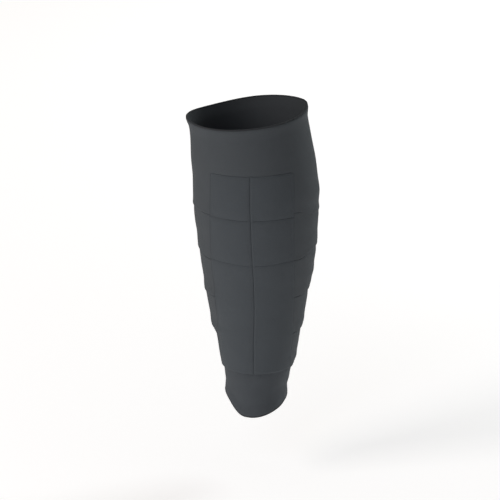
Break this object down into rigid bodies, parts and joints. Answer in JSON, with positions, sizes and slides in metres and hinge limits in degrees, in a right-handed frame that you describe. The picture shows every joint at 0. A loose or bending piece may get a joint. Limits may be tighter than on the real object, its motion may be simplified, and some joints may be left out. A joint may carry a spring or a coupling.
{
  "type": "calf compression sleeve",
  "caption": "Tapered knit sleeve for the lower leg, open at both ends, with a wide top band, lapped side bands and a strip of padded back panels with seam grooves.",
  "frame": {"origin": "on the sleeve's axis, level with its fullest girth, where the thickest part of the calf sits", "axes": "+Z along the axis from the ankle end to the knee end, -Y towards the back panels on the calf side, +X towards the outer side of the right-hand form"},
  "size_m": [0.1356, 0.128, 0.3276],
  "materials": {
    "knit": "matt slate grey knit",
    "band": "matt slate grey brushed knit",
    "panel": "matt slate grey padded knit",
    "edge": "matt near-black bound edge"
  },
  "bodies": {
    "root": {"sleeve_body": "knit", "top_band": "band", "side_band_1": "band", "side_band_2": "band", "side_band_3": "band", "side_band_4": "band", "back_panel_upper_inner": "panel", "back_panel_upper_outer": "panel", "back_panel_middle_inner": "panel", "back_panel_middle_outer": "panel", "back_panel_lower_inner": "panel", "back_panel_lower_outer": "panel", "top_binding": "edge", "bottom_binding": "edge"}
  },
  "joints": []
}
